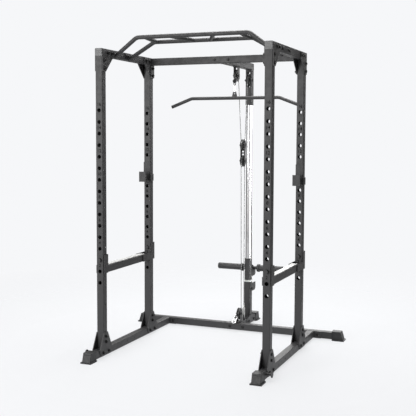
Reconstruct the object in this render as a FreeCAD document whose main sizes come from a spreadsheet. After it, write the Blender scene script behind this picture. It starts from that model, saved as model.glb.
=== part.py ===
"""Power cage with a lat pulldown and low row tower, as a parametric assembly of separate pieces.

Frame: +X to the user's right, +Y to the rear, +Z up, millimetres. The origin lies on the floor at
the middle of the footprint. Heights are measured from the floor.
"""
import FreeCAD, Part
import Sketcher
import math
import os

Vec = FreeCAD.Vector
doc = FreeCAD.newDocument("power_cage")
sheet = doc.addObject("Spreadsheet::Sheet", "sizes")

SIZES = {
    # square tubes and plates
    "tube_side": 50.0, "tube_wall": 2.5, "tube_round": 4.0, "plate_thick": 5.0,
    # overall frame
    "rig_width": 1165.0, "rig_depth": 698.0, "top_underside": 2000.0, "base_lift": 8.0,
    "front_reach": 194.0, "rear_reach": 1505.0, "side_overhang": 250.5, "cross_front": 1040.0,
    "cross_drop": 5.0, "tube_end_gap": 20.0,
    # upright holes
    "hole_bore": 26.0, "hole_first": 503.0, "hole_pitch": 76.2, "hole_count": 16.0,
    "side_bore": 9.0, "side_low": 354.0, "side_mid": 1088.0, "side_high": 1140.0,
    # two spare holes in each base side tube, measured from the front upright
    "spare_front": 329.0, "spare_rear": 436.0,
    # fasteners
    "axle_head": 17.0, "axle_head_height": 6.4, "bolt_shank": 10.0, "bolt_gap": 0.5, "head_across": 18.0,
    "head_height": 6.0, "nut_height": 8.0, "washer_radius": 11.0, "washer_thick": 1.6,
    # gussets
    "gusset_tall": 149.0, "gusset_long": 150.0, "gusset_edge": 4.0, "gusset_drop_a": 26.0,
    "gusset_drop_b": 78.0, "gusset_bolt_a": 72.0, "gusset_bolt_b": 122.0,
    "foot_gusset_top": 166.0, "foot_gusset_half": 80.0, "foot_gusset_neck": 24.0,
    "foot_bolt_a": 101.0, "foot_bolt_b": 138.0, "foot_bolt_spread": 36.0,
    "flange_half": 80.0, "flange_bolt": 56.0, "tower_flange_half": 75.0, "tower_flange_bolt": 52.0,
    # foot caps and band pegs
    "foot_length": 90.0, "foot_top": 66.0, "foot_side": 6.0, "foot_over": 10.0,
    "sole_side": 13.0, "sole_height": 9.0, "sole_lip": 6.0, "fit_gap": 0.2, "foot_round": 3.5,
    "peg_radius": 9.0, "peg_length": 36.0, "peg_disc": 20.0, "peg_ahead": 70.0, "peg_lift": 8.0,
    # pull-up bar
    "grip_tube": 28.0, "grip_wall": 2.0, "bar_front": 176.0, "bar_rear": 364.0, "bar_rise": 130.0,
    "bar_rear_drop": 12.0, "bar_bend_front": 395.0, "bar_bend_rear": 358.0, "bar_foot_rise": 13.0,
    "bar_bend_radius": 60.0, "bar_bolt": 27.0, "bar_plate_long": 70.0, "neutral_at": 335.0,
    "diagonal_front": 154.0, "diagonal_rear": 61.0,
    # tower
    "tower_depth": 1308.0, "guide_radius": 22.0, "lower_post_top": 337.0, "upper_post_drop": 276.0,
    "guide_drop": 200.0, "guide_foot": 240.0, "lower_bolt": 284.0, "slot_width": 24.0,
    "slot_foot_drop": 138.0, "slot_top_drop": 22.0, "bumper_height": 14.7,
    "saddle_half": 95.0, "saddle_bolt": 57.0, "lug_reach": 90.0, "lug_foot": 263.0, "lug_top": 326.0,
    # pulleys and cables
    "cable_radius": 2.75, "groove_radius": 40.0, "post_groove_radius": 44.0, "rim_height": 5.0,
    "pulley_half": 9.0, "hub_half": 12.7, "hub_radius": 12.0, "axle_radius": 5.0, "axle_gap": 0.05,
    "front_pulley_y": 1016.0, "front_pulley_drop": 69.0, "post_pulley_drop": 85.0,
    "post_axle_ahead": 8.0, "block_y": 1168.0, "block_upper_z": 1414.0, "block_lower_z": 1294.0,
    "low_pulley_y": 1112.0, "low_pulley_z": 120.0, "cheek_gap": 13.0, "cheek_thick": 3.0,
    # carriage
    "carriage_foot": 352.0, "carriage_tall": 172.0, "sleeve_radius": 28.0, "sleeve_bore": 24.6,
    "bush_height": 28.0, "bush_gap": 0.06, "horn_back": 54.0, "horn_z": 441.0, "horn_bar": 13.0,
    "horn_wall": 4.0, "horn_vent": 6.0, "horn_lid": 5.0, "horn_radius": 24.5, "horn_end": 272.0,
    "collar_inner": 57.0, "collar_outer": 77.0,
    "collar_radius": 31.0, "carriage_cheek_reach": 104.0, "stud_back": 82.0, "stud_z": 392.0,
    # lat bar and hooks
    "lat_bar_radius": 12.5, "lat_bar_below": 237.0, "lat_bar_bend": 345.0, "lat_bar_end": 509.0,
    "lat_bar_drop": 62.0, "ball_radius": 15.0, "ball_clear": 4.0, "hook_rod": 3.5,
    "eye_ring": 8.0, "eye_rod": 2.5, "hook_bend": 13.0, "hook_straight": 42.0,
    "row_droop": 33.0, "row_lift_angle": 25.0, "row_free": 46.0,
    # safety bars and J-hooks
    "safety_foot": 565.0, "safety_gap": 80.0, "saddle_clear": 2.0, "safety_tall": 690.0,
    "safety_peg": 12.0, "safety_tip": 18.0, "liner_thick": 6.0,
    "jhook_reach": 80.0, "jhook_foot": 1146.0, "jhook_lip": 74.0, "jhook_top": 1289.0,
    "jhook_peg": 40.0,
}


class Dim:
    """A length that carries both its number and the sheet formula that gives it."""

    def __init__(self, value, formula):
        self.value = float(value)
        self.formula = formula

    def __add__(self, other):
        other = dim(other)
        return Dim(self.value + other.value, "(%s + %s)" % (self.formula, other.formula))

    def __sub__(self, other):
        other = dim(other)
        return Dim(self.value - other.value, "(%s - %s)" % (self.formula, other.formula))

    def __mul__(self, factor):
        return Dim(self.value * factor, "(%s * %s)" % (self.formula, repr(float(factor))))

    def __truediv__(self, factor):
        return Dim(self.value / factor, "(%s / %s)" % (self.formula, repr(float(factor))))

    def __neg__(self):
        return self * -1

    def __radd__(self, other):
        return dim(other) + self

    def __rsub__(self, other):
        return dim(other) - self


def dim(thing):
    """Turn a plain number into a Dim, and leave a Dim as it is."""
    if isinstance(thing, Dim):
        return thing
    return Dim(thing, repr(float(thing)))


def fill_sheet():
    """Write every driving dimension to the sheet under its own alias."""
    for row, (alias, number) in enumerate(SIZES.items(), start=1):
        cell = "A%d" % row
        sheet.set(cell, repr(number))
        sheet.setAlias(cell, alias)
    doc.recompute()


def size(alias):
    """One driving dimension, read from its cell."""
    return Dim(sheet.get(alias), "sizes." + alias)


fill_sheet()

# ---------------------------------------------------------------- derived places
side = size("tube_side")
half = side / 2
wall = size("tube_wall")
plate_t = size("plate_thick")
front_y = (size("front_reach") - size("rear_reach")) / 2
rear_y = front_y + size("rig_depth")
upright_x = size("rig_width") / 2
inner_x = upright_x - half
base_foot = size("base_lift")
base_top = base_foot + side
base_mid = base_foot + half
top_foot = size("top_underside")
top_mid = top_foot + half
top_top = top_foot + side
side_reach = upright_x + size("side_overhang")
cross_y = front_y + size("cross_front")
cross_top_foot = top_foot - size("cross_drop")
tower_y = front_y + size("tower_depth")
bolt_r = size("bolt_shank") / 2
hole_r = bolt_r + size("bolt_gap") / 2
cable_r = size("cable_radius")
groove_r = size("groove_radius")
post_groove_r = size("post_groove_radius")
cheek_in = size("cheek_gap")
cheek_out = cheek_in + size("cheek_thick")

NODES = []
SIDES = (("left", -1), ("right", 1))
ENDS = (("front", front_y), ("rear", rear_y))
ORIGIN_ROLE = {"X": "YZ_Plane", "Y": "XZ_Plane", "Z": "XY_Plane"}
DIRECTION = {"X": Vec(1, 0, 0), "Y": Vec(0, 1, 0), "Z": Vec(0, 0, 1)}
TURN = {"X": FreeCAD.Rotation(Vec(0, 1, 0), 90), "Y": FreeCAD.Rotation(Vec(1, 0, 0), -90),
        "Z": FreeCAD.Rotation()}


# ---------------------------------------------------------------- building blocks
def point(x, y, z):
    """A vector from three Dims or numbers."""
    return Vec(dim(x).value, dim(y).value, dim(z).value)


def node(thing, name):
    """Name a finished sub-part, so that it is written out under that name."""
    thing.Label = name
    NODES.append(thing)
    return thing


def place(thing, at):
    """Tie an object's place to sheet formulas."""
    for letter, where in zip("xyz", at):
        thing.setExpression("Placement.Base." + letter, dim(where).formula)


def new_body(name, at):
    """An empty PartDesign body at a place given by formulas."""
    body = doc.addObject("PartDesign::Body", name)
    place(body, at)
    return body


def new_sketch(body, axis):
    """A sketch on the body's own origin plane that faces along an axis."""
    sketch = body.newObject("Sketcher::SketchObject", body.Name + "_sketch")
    plane = [f for f in body.Origin.OriginFeatures if f.Role == ORIGIN_ROLE[axis]][0]
    sketch.AttachmentSupport = [(plane, "")]
    sketch.MapMode = "FlatFace"
    return sketch


def pin_point(sketch, geometry, vertex, where):
    """Hold one sketch point at formula-driven distances from the sketch's origin."""
    for kind, distance in zip(("DistanceX", "DistanceY"), where):
        distance = dim(distance)
        index = sketch.addConstraint(
            Sketcher.Constraint(kind, -1, 1, geometry, vertex, distance.value))
        sketch.setExpression("Constraints[%d]" % index, distance.formula)


def draw_polygon(sketch, corners):
    """A closed outline of straight lines, each corner held by two formulas."""
    first = sketch.GeometryCount
    ends = [Vec(dim(u).value, dim(v).value, 0) for u, v in corners]
    count = len(ends)
    for i in range(count):
        sketch.addGeometry(Part.LineSegment(ends[i], ends[(i + 1) % count]), False)
    for i in range(count):
        sketch.addConstraint(
            Sketcher.Constraint("Coincident", first + i, 2, first + (i + 1) % count, 1))
    for i in range(count):
        pin_point(sketch, first + i, 1, corners[i])


def draw_circle(sketch, centre, radius):
    """A circle whose centre and radius are held by formulas."""
    radius = dim(radius)
    middle = Vec(dim(centre[0]).value, dim(centre[1]).value, 0)
    index = sketch.addGeometry(Part.Circle(middle, Vec(0, 0, 1), radius.value), False)
    pin_point(sketch, index, 3, centre)
    ring = sketch.addConstraint(Sketcher.Constraint("Radius", index, radius.value))
    sketch.setExpression("Constraints[%d]" % ring, radius.formula)


def pad(body, sketch, length, axis):
    """Pad a sketch towards + on its axis, and return the pad."""
    feature = body.newObject("PartDesign::Pad", body.Name + "_pad")
    feature.Profile = sketch
    feature.setExpression("Length", dim(length).formula)
    feature.Reversed = axis == "Y"
    doc.recompute()
    return feature


def drill(body, axis, centres, radius):
    """Round holes right through a body along an axis, in one pocket."""
    sketch = new_sketch(body, axis)
    for centre in centres:
        draw_circle(sketch, centre, radius)
    doc.recompute()
    before = body.Shape.Volume
    pocket = body.newObject("PartDesign::Pocket", body.Name + "_holes")
    pocket.Profile = sketch
    pocket.SideType = "Symmetric"
    pocket.Type = "ThroughAll"
    doc.recompute()
    if body.Shape.Volume >= before:
        raise ValueError("holes cut nothing in " + body.Name)
    return pocket


def square(half_side):
    """The four corners of a square about the sketch's origin."""
    return [(-half_side, -half_side), (half_side, -half_side),
            (half_side, half_side), (-half_side, half_side)]


def square_tube(name, axis, length, at):
    """A square tube from `at` towards + on an axis, with rounded outer edges."""
    body = new_body(name, at)
    sketch = new_sketch(body, axis)
    draw_polygon(sketch, square(half))
    draw_polygon(sketch, square(half - wall))
    stock = pad(body, sketch, length, axis)
    along = DIRECTION[axis]
    corner_edges = []
    for i, edge in enumerate(stock.Shape.Edges, start=1):
        run = edge.Vertexes[1].Point - edge.Vertexes[0].Point
        offset = edge.Vertexes[0].Point
        across = offset - along * offset.dot(along)
        if abs(run.dot(along)) > 1 and across.Length > half.value * 1.3:
            corner_edges.append("Edge%d" % i)
    rounding = body.newObject("PartDesign::Fillet", name + "_corners")
    rounding.Base = (stock, corner_edges)
    rounding.setExpression("Radius", "sizes.tube_round")
    doc.recompute()
    return body


def plate(name, axis, outline, holes, radius, thickness, at):
    """A flat plate: an outline in the plane across `axis`, with round holes, padded towards +."""
    body = new_body(name, at)
    sketch = new_sketch(body, axis)
    draw_polygon(sketch, outline)
    for centre in holes:
        draw_circle(sketch, centre, radius)
    pad(body, sketch, thickness, axis)
    return body


def block(name, lengths, at):
    """A plain block with its low corner at `at`."""
    box = doc.addObject("Part::Box", name)
    for prop, length in zip(("Length", "Width", "Height"), lengths):
        box.setExpression(prop, dim(length).formula)
    place(box, at)
    return box


def rod(name, axis, radius, length, at):
    """A round rod from `at` towards + on an axis."""
    cylinder = doc.addObject("Part::Cylinder", name)
    cylinder.setExpression("Radius", dim(radius).formula)
    cylinder.setExpression("Height", dim(length).formula)
    cylinder.Placement = FreeCAD.Placement(Vec(), TURN[axis])
    place(cylinder, at)
    return cylinder


def fuse(name, things):
    """Join several objects into one solid."""
    joined = doc.addObject("Part::MultiFuse", name)
    joined.Shapes = things
    joined.Refine = True
    return joined


def cut(name, base, tool):
    """Take one object out of another."""
    rest = doc.addObject("Part::Cut", name)
    rest.Base = base
    rest.Tool = tool
    return rest


def group(name, things):
    """Several like pieces kept as separate solids in one node."""
    together = doc.addObject("Part::Compound", name)
    together.Links = things
    return node(together, name)


def feature(name, shape):
    """A shape made with Part's own functions, such as a swept bar or a cable."""
    made = doc.addObject("Part::Feature", name)
    made.Shape = shape
    return made


def turned(name, axis, profile, at):
    """A turned piece: an outline of (along, radius) points spun about an axis through `at`."""
    body = new_body(name, at)
    sketch = new_sketch(body, "Z")
    draw_polygon(sketch, profile)
    spin = body.newObject("PartDesign::Revolution", name + "_turn")
    spin.Profile = sketch
    spin.ReferenceAxis = (sketch, ["H_Axis"])
    spin.Angle = 360
    doc.recompute()
    lay = {"X": FreeCAD.Rotation(), "Y": FreeCAD.Rotation(Vec(0, 0, 1), 90),
           "Z": FreeCAD.Rotation(Vec(0, 1, 0), -90)}[axis]
    body.Placement = FreeCAD.Placement(body.Placement.Base, lay)
    place(body, at)
    return body


def round_path(corners, radii):
    """A wire of straight runs joined by tangent arcs at its inner corners."""
    edges = []
    start = corners[0]
    for i in range(1, len(corners) - 1):
        back = (corners[i - 1] - corners[i]).normalize()
        ahead = (corners[i + 1] - corners[i]).normalize()
        turn = math.pi - back.getAngle(ahead)
        trim = radii[i - 1] * math.tan(turn / 2)
        enter = corners[i] + back * trim
        leave = corners[i] + ahead * trim
        inward = (back + ahead).normalize()
        centre = corners[i] + inward * (radii[i - 1] / math.cos(turn / 2))
        middle = centre - inward * radii[i - 1]
        edges.append(Part.LineSegment(start, enter).toShape())
        edges.append(Part.Arc(enter, middle, leave).toShape())
        start = leave
    edges.append(Part.LineSegment(start, corners[-1]).toShape())
    return Part.Wire(edges)


def sweep(path, radius):
    """A round bar of one radius along a wire."""
    first = path.OrderedEdges[0]
    start = first.valueAt(first.FirstParameter)
    along = first.tangentAt(first.FirstParameter)
    if (path.OrderedVertexes[0].Point - start).Length > 1e-6:
        start = first.valueAt(first.LastParameter)
        along = first.tangentAt(first.LastParameter) * -1
    ring = Part.Wire([Part.Circle(start, along, radius).toShape()])
    solid = path.makePipeShell([ring], True, False)
    expected = math.pi * radius ** 2 * path.Length
    if abs(solid.Volume / expected - 1) > 0.02:
        raise ValueError("a swept bar has the wrong volume")
    return solid


def straight(start, end, radius):
    """A straight round bar between two points."""
    run = end - start
    return Part.makeCylinder(radius, run.Length, start, run)


def hexagon(across, height, centre, axis):
    """A hexagonal prism, such as a bolt's head or a nut."""
    reach = across / math.sqrt(3)
    if abs(axis.z) > 0.5:
        up = Vec(1, 0, 0)
    else:
        up = Vec(0, 0, 1)
    sideways = axis.cross(up)
    corners = []
    for i in range(7):
        angle = math.radians(60 * i)
        corners.append(centre + up * (reach * math.cos(angle)) + sideways * (reach * math.sin(angle)))
    return Part.Face(Part.makePolygon(corners)).extrude(axis * height)


def bevelled(across, height, seat, axis):
    """A hexagonal head on a face at `seat`, its outer corners turned down to a cone."""
    dome = Part.makeCone(across * 0.72, across * 0.46, height, seat, axis)
    return hexagon(across, height, seat, axis).common(dome)


def bolt(face, axis, grip):
    """A hex bolt, two washers and a nut: the head's washer lies on `face`, the shank runs along `axis`."""
    across = size("head_across").value
    washer = size("washer_thick").value
    reach = size("washer_radius").value
    nut_height = size("nut_height").value
    head_height = size("head_height").value
    shank = Part.makeCylinder(bolt_r.value, grip + washer * 2 + nut_height + 3, face - axis * washer, axis)
    head = bevelled(across, head_height, face - axis * washer, axis * -1)
    nut = bevelled(across, nut_height, face + axis * (grip + washer), axis)
    washers = [Part.makeCylinder(reach, washer, face - axis * washer, axis),
               Part.makeCylinder(reach, washer, face + axis * grip, axis)]
    return shank.fuse([head, nut] + washers)


def arc_about(centre, start, end, through_angle):
    """An arc in the Y-Z plane about a centre, passing through an angle measured from +Y."""
    radius = (start - centre).Length
    angle = math.radians(through_angle)
    middle = centre + Vec(0, math.cos(angle), math.sin(angle)) * radius
    return Part.Arc(start, middle, end).toShape()


def tangent(centre_a, radius_a, side_a, centre_b, radius_b, side_b):
    """Ends of the cable run that leaves wheel a and meets wheel b, in the Y-Z plane.

    A side is +1 where the cable passes behind the wheel's centre and -1 in front of it.
    A radius of 0 stands for a plain end point.
    """
    across = centre_b - centre_a
    heading = math.atan2(across.z, across.y)
    sign = -1 if across.z > 0 else 1
    lean = math.acos((side_a * radius_a - side_b * radius_b) / across.Length)
    angle = heading + sign * lean
    normal = Vec(0, math.cos(angle), math.sin(angle))
    return centre_a + normal * (side_a * radius_a), centre_b + normal * (side_b * radius_b)


# ---------------------------------------------------------------- shared fastener places
top_upright_bolts = [top_foot - size("gusset_drop_a"), top_foot - size("gusset_drop_b")]
top_tube_bolts = [size("gusset_bolt_a"), size("gusset_bolt_b")]
foot_upright_bolts = [size("foot_bolt_a"), size("foot_bolt_b")]
foot_tube_bolts = [half - size("foot_bolt_spread"), half + size("foot_bolt_spread")]
corner_inward = {"front": 1, "rear": -1}


def corner_y(end, distance):
    """Y at a distance into the cage from an upright's outward face."""
    outward = front_y if end == "front" else rear_y + side
    return outward + distance * corner_inward[end]


def upright(end, hand, sign, face_y):
    """An upright: the row of through holes, side holes, and bolt holes at both ends."""
    name = "upright_%s_%s" % (end, hand)
    length = top_foot - base_top
    body = square_tube(name, "Z", length, (upright_x * sign, face_y + half, base_top))
    first = size("hole_first") - base_top
    pocket = drill(body, "Y", [(0, first)], size("hole_bore") / 2)
    row = body.newObject("PartDesign::LinearPattern", name + "_row")
    row.Originals = [pocket]
    row.Direction = (pocket.Profile[0], ["V_Axis"])
    row.setExpression("Length", "(sizes.hole_count - 1) * sizes.hole_pitch")
    row.setExpression("Occurrences", "sizes.hole_count")
    body.Tip = row
    doc.recompute()
    heights = [size("side_low"), size("side_mid"), size("side_high")]
    drill(body, "X", [(0, z - base_top) for z in heights], size("side_bore") / 2)
    ends = top_upright_bolts + foot_upright_bolts
    drill(body, "X", [(0, z - base_top) for z in ends], hole_r)
    return node(body, name)


def top_side_tube(hand, sign):
    """A top tube along one side, drilled for the gussets and for the pull-up bar."""
    name = "top_side_tube_" + hand
    length = size("rig_depth") + side
    body = square_tube(name, "Y", length, (upright_x * sign, front_y, top_mid))
    drilled = []
    for distance in top_tube_bolts:
        drilled.append(distance)
        drilled.append(length - distance)
    drilled.append(size("bar_front") + size("bar_bolt"))
    drilled.append(size("bar_rear") - size("bar_bolt"))
    drill(body, "X", [(d, 0) for d in drilled], hole_r)
    return node(body, name)


def base_side_tube(hand, sign):
    """A base tube along one side, with its welded rear flange and the band peg near the foot."""
    name = "base_side_tube_" + hand
    start = front_y - size("front_reach") + size("tube_end_gap")
    end = cross_y - plate_t
    body = square_tube(name + "_tube", "Y", end - start, (upright_x * sign, start, base_mid))
    drilled = []
    for face_y in (front_y, rear_y):
        for distance in foot_tube_bolts:
            drilled.append(face_y + distance - start)
    for spare in (size("spare_front"), size("spare_rear")):
        drilled.append(front_y + spare - start)
    drill(body, "X", [(d, 0) for d in drilled], hole_r)
    reach = size("flange_half")
    outline = [(-reach, -half), (reach, -half), (reach, half), (-reach, half)]
    bolts = [(-size("flange_bolt"), 0), (size("flange_bolt"), 0)]
    flange = plate(name + "_flange", "Y", outline, bolts, hole_r, plate_t,
                   (upright_x * sign, end, base_mid))
    peg_y = front_y - size("peg_ahead")
    peg_z = base_mid + size("peg_lift")
    outer = (upright_x + half) * sign
    if sign > 0:
        peg_start, disc_start = outer, outer + size("peg_length")
    else:
        peg_start, disc_start = outer - size("peg_length"), outer - size("peg_length") - plate_t
    peg = rod(name + "_peg", "X", size("peg_radius"), size("peg_length"), (peg_start, peg_y, peg_z))
    disc = rod(name + "_disc", "X", size("peg_disc"), plate_t, (disc_start, peg_y, peg_z))
    return node(fuse(name, [body, flange, peg, disc]), name)


def rear_base_crossmember():
    """The rear base tube that ties both sides together and carries the tower."""
    name = "rear_base_crossmember"
    reach = side_reach - size("tube_end_gap")
    body = square_tube(name, "X", reach * 2, (-reach, cross_y + half, base_mid))
    drilled = []
    for sign in (-1, 1):
        for offset in (-size("flange_bolt"), size("flange_bolt")):
            drilled.append(reach + upright_x * sign + offset)
        drilled.append(reach + size("tower_flange_bolt") * sign)
    drill(body, "Y", [(d, 0) for d in drilled], hole_r)
    return node(body, name)


def rear_top_crossmember():
    """The rear top tube between the rear uprights, with an end plate down each upright."""
    name = "rear_top_crossmember"
    reach = inner_x - plate_t * 2
    middle = cross_top_foot + half
    body = square_tube(name + "_tube", "X", reach * 2, (-reach, rear_y + half, middle))
    spots = [(reach + size("tower_flange_bolt") * sign, 0) for sign in (-1, 1)]
    drill(body, "Y", spots, hole_r)
    foot = top_top - size("gusset_tall") + size("gusset_edge")
    pieces = [body]
    for hand, sign in SIDES:
        outline = [(-half, foot), (half, foot), (half, cross_top_foot + side),
                   (-half, cross_top_foot + side)]
        holes = [(0, z) for z in top_upright_bolts]
        start = reach if sign > 0 else -reach - plate_t
        pieces.append(plate(name + "_end_" + hand, "X", outline, holes, hole_r, plate_t,
                            (start, rear_y + half, 0)))
    return node(fuse(name, pieces), name)


def gussets():
    """Inner and outer plates at all eight corners, kept as separate solids."""
    edge = size("gusset_edge")
    long_edge = size("gusset_long")
    foot = top_top - size("gusset_tall")
    tops = []
    feet = []
    for end, face_y in ENDS:
        into = corner_inward[end]
        for hand, sign in SIDES:
            for layer, start in (("outer", upright_x + half), ("inner", inner_x - plate_t)):
                if sign < 0:
                    start = -start - plate_t
                outline = [(edge * into, foot), ((side - edge) * into, foot),
                           ((side + 4) * into, foot + 10), (long_edge * into, top_foot + 8),
                           (long_edge * into, top_top - edge), (edge * into, top_top - edge)]
                holes = [(half * into, z) for z in top_upright_bolts]
                holes += [(d * into, top_mid) for d in top_tube_bolts]
                tag = "%s_%s_%s" % (end, hand, layer)
                tops.append(plate("top_gusset_" + tag, "X", outline, holes, hole_r, plate_t,
                                  (start, corner_y(end, dim(0)), 0)))
                neck = size("foot_gusset_neck")
                wide = size("foot_gusset_half")
                low = base_foot + 4
                outline = [(-wide + 24, low), (wide - 24, low), (wide, base_top - 18),
                           (wide, base_top), (neck, size("foot_gusset_top")),
                           (-neck, size("foot_gusset_top")), (-wide, base_top), (-wide, base_top - 18)]
                holes = [(0, z) for z in foot_upright_bolts]
                holes += [(d - half, base_mid) for d in foot_tube_bolts]
                feet.append(plate("foot_gusset_" + tag, "X", outline, holes, hole_r, plate_t,
                                  (start, face_y + half, 0)))
    group("top_gussets", tops)
    group("base_gussets", feet)


# ---------------------------------------------------------------- feet and end caps
def foot_cap_shape():
    """One foot cap, pointing towards -Y, with its sole tip at y = 0 and its floor at z = 0."""
    length = size("foot_length")
    wide = side + size("foot_side") * 2
    high = base_top + size("foot_over")
    sole_wide = side + size("sole_side") * 2
    outline = [(8, 0), (length, 0), (length, high), (length - size("foot_top"), high),
               (6, size("sole_height"))]
    shell = plate("foot_cap_shell", "X", outline, [], 1, wide, (-wide / 2, 0, 0))
    sole = block("foot_cap_sole", (sole_wide, length - size("sole_lip"), size("sole_height")),
                 (-sole_wide / 2, 0, 0))
    solid = fuse("foot_cap_solid", [shell, sole])
    room = size("fit_gap")
    hollow = block("foot_cap_hollow", (side + room * 2, length, side + room * 2),
                   (-half - room, size("tube_end_gap") - room, base_foot - room))
    slot = cut("foot_cap_master", solid, hollow)
    doc.recompute()
    upright_edges = []
    for edge in slot.Shape.Edges:
        box = edge.BoundBox
        on_side = abs(abs(box.XMax) - wide.value / 2) < 0.01 and box.XLength < 0.01
        if on_side and (box.ZMin > size("sole_height").value + 1 or box.ZLength > 30):
            upright_edges.append(edge)
    return slot.Shape.makeFillet(size("foot_round").value, upright_edges)


def foot_caps():
    """Five plastic feet: two in front, two on the rear tube's ends, one under the tower."""
    master = foot_cap_shape()
    spots = [(-upright_x, front_y - size("front_reach"), 0), (upright_x, front_y - size("front_reach"), 0),
             (-side_reach, cross_y + half, -90), (side_reach, cross_y + half, 90),
             (dim(0), front_y + size("rear_reach"), 180)]
    caps = []
    for i, (x, y, turn) in enumerate(spots):
        cap = feature("foot_cap_%d" % i, master.copy())
        cap.Placement = FreeCAD.Placement(point(x, y, 0), FreeCAD.Rotation(Vec(0, 0, 1), turn))
        caps.append(cap)
    group("foot_caps", caps)


def tube_end_caps():
    """Thin plastic caps in the open ends of the top side tubes, the arm and the posts."""
    caps = []
    rim = 2.0
    plug = half - wall - size("fit_gap")
    depth = dim(12)
    for hand, sign in SIDES:
        x = upright_x * sign
        for end, y, outward in (("front", front_y, -1), ("rear", rear_y + side, 1)):
            lid_y = y - rim if outward < 0 else y
            plug_y = y if outward < 0 else y - depth
            tag = "end_cap_%s_%s" % (end, hand)
            lid = block(tag + "_lid", (side - 0.6, dim(rim), side - 0.6),
                        (x - half + 0.3, lid_y, top_foot + 0.3))
            stem = block(tag + "_stem", (plug * 2, depth, plug * 2), (x - plug, plug_y, top_mid - plug))
            caps.append(fuse(tag, [lid, stem]))
    arm_end = tower_y + half
    lid = block("arm_cap_lid", (side - 0.6, dim(rim), side - 0.6),
                (-half + 0.3, arm_end, cross_top_foot + 0.3))
    stem = block("arm_cap_stem", (plug * 2, depth, plug * 2),
                 (-plug, arm_end - depth, cross_top_foot + half - plug))
    caps.append(fuse("arm_cap", [lid, stem]))
    caps.append(rod("spare_hole_plug", "Z", 7, 4, (-94, cross_y + 15, base_top)))
    group("tube_end_caps", caps)


# ---------------------------------------------------------------- pull-up bar
def bar_span(name, y, bend_x, height, foot_z, plate_low):
    """One bent pull-up tube, open through its two welded end plates."""
    radius = size("grip_tube").value / 2
    rise = height.value - foot_z.value
    slope = rise / (inner_x.value - plate_t.value - bend_x.value)
    beyond = inner_x.value + 20
    foot = foot_z.value - slope * (beyond - inner_x.value + plate_t.value)
    corners = [Vec(-beyond, y.value, foot), Vec(-bend_x.value, y.value, height.value),
               Vec(bend_x.value, y.value, height.value), Vec(beyond, y.value, foot)]
    path = round_path(corners, [size("bar_bend_radius").value] * 2)
    reach = inner_x.value - plate_t.value
    deep = radius * 2
    keep = Part.makeBox(reach * 2, deep * 2, rise * 2 + deep * 2,
                        Vec(-reach, y.value - deep, height.value - rise * 2 - deep))
    pieces = [feature(name + "_tube", sweep(path, radius).common(keep))]
    long_plate = size("bar_plate_long")
    for hand, sign in SIDES:
        outline = [(0, 2), (long_plate, 2), (long_plate, side - 2), (0, side - 2)]
        bolt_at = size("bar_front") + size("bar_bolt") if plate_low else size("bar_rear") - size("bar_bolt")
        low = size("bar_front") - 22 if plate_low else size("bar_rear") + 22 - long_plate
        start = inner_x - plate_t if sign > 0 else -inner_x
        pieces.append(plate(name + "_plate_" + hand, "X", outline, [(bolt_at - low, half)], hole_r,
                            plate_t, (start, front_y + low, top_foot)))
    bore = feature(name + "_bore", sweep(path, radius - size("grip_wall").value))
    return node(cut(name, fuse(name + "_weldment", pieces), bore), name)


def pull_up_bar():
    """Two bent tubes joined by two straight and two slanted grips."""
    front = front_y + size("bar_front")
    rear = front_y + size("bar_rear")
    high = top_foot + size("bar_rise")
    foot = top_foot + size("bar_foot_rise")
    low = high - size("bar_rear_drop")
    bar_span("pullup_front_tube", front, size("bar_bend_front"), high, foot, True)
    bar_span("pullup_rear_tube", rear, size("bar_bend_rear"), low,
             foot - size("bar_rear_drop") / 2, False)
    radius = size("grip_tube").value / 2
    core_radius = radius + size("fit_gap").value / 2
    front_core, rear_core = [straight(point(-upright_x, y, z), point(upright_x, y, z), core_radius)
                             for y, z in ((front, high), (rear, low))]
    grips = []
    for hand, sign in SIDES:
        for kind, front_x, rear_x in (("neutral", size("neutral_at"), size("neutral_at")),
                                      ("slanted", size("diagonal_front"), size("diagonal_rear"))):
            ends = (point(front_x * sign, front, high), point(rear_x * sign, rear, low))
            bore = straight(ends[0], ends[1], radius - size("grip_wall").value)
            bar = straight(ends[0], ends[1], radius).cut(bore)
            grips.append(feature("grip_%s_%s" % (kind, hand), bar.cut(front_core).cut(rear_core)))
    group("pullup_grips", grips)


# ---------------------------------------------------------------- tower
def tower_flange(name, y, z_mid):
    """A flange plate across a crossmember's rear face, with its two bolt holes."""
    reach = size("tower_flange_half")
    outline = [(-reach, -half), (reach, -half), (reach, half), (-reach, half)]
    bolts = [(-size("tower_flange_bolt"), 0), (size("tower_flange_bolt"), 0)]
    return plate(name, "Y", outline, bolts, hole_r, plate_t, (0, y, z_mid))


def tower_arm():
    """The arm that reaches back from the top crossmember over the tower."""
    start = rear_y + side
    z_mid = cross_top_foot + half
    body = square_tube("tower_arm_tube", "Y", tower_y + half - start - plate_t,
                       (0, start + plate_t, z_mid))
    flange = tower_flange("tower_arm_flange", start, z_mid)
    node(fuse("tower_arm", [body, flange]), "tower_arm")


def upper_post():
    """The short post under the arm, slotted front and back for its pulley."""
    foot = top_foot - size("upper_post_drop")
    body = square_tube("upper_post", "Z", cross_top_foot - foot, (0, tower_y, foot))
    sketch = new_sketch(body, "Y")
    reach = size("slot_width") / 2
    low = top_foot - size("slot_foot_drop") - foot
    high = top_foot - size("slot_top_drop") - foot
    draw_polygon(sketch, [(-reach, low), (reach, low), (reach, high), (-reach, high)])
    pocket = body.newObject("PartDesign::Pocket", "upper_post_slot")
    pocket.Profile = sketch
    pocket.SideType = "Symmetric"
    pocket.Type = "ThroughAll"
    doc.recompute()
    drill(body, "X", [(-size("post_axle_ahead"), top_foot - size("post_pulley_drop") - foot)],
          size("axle_radius") + size("axle_gap"))
    node(body, "upper_post")


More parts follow.
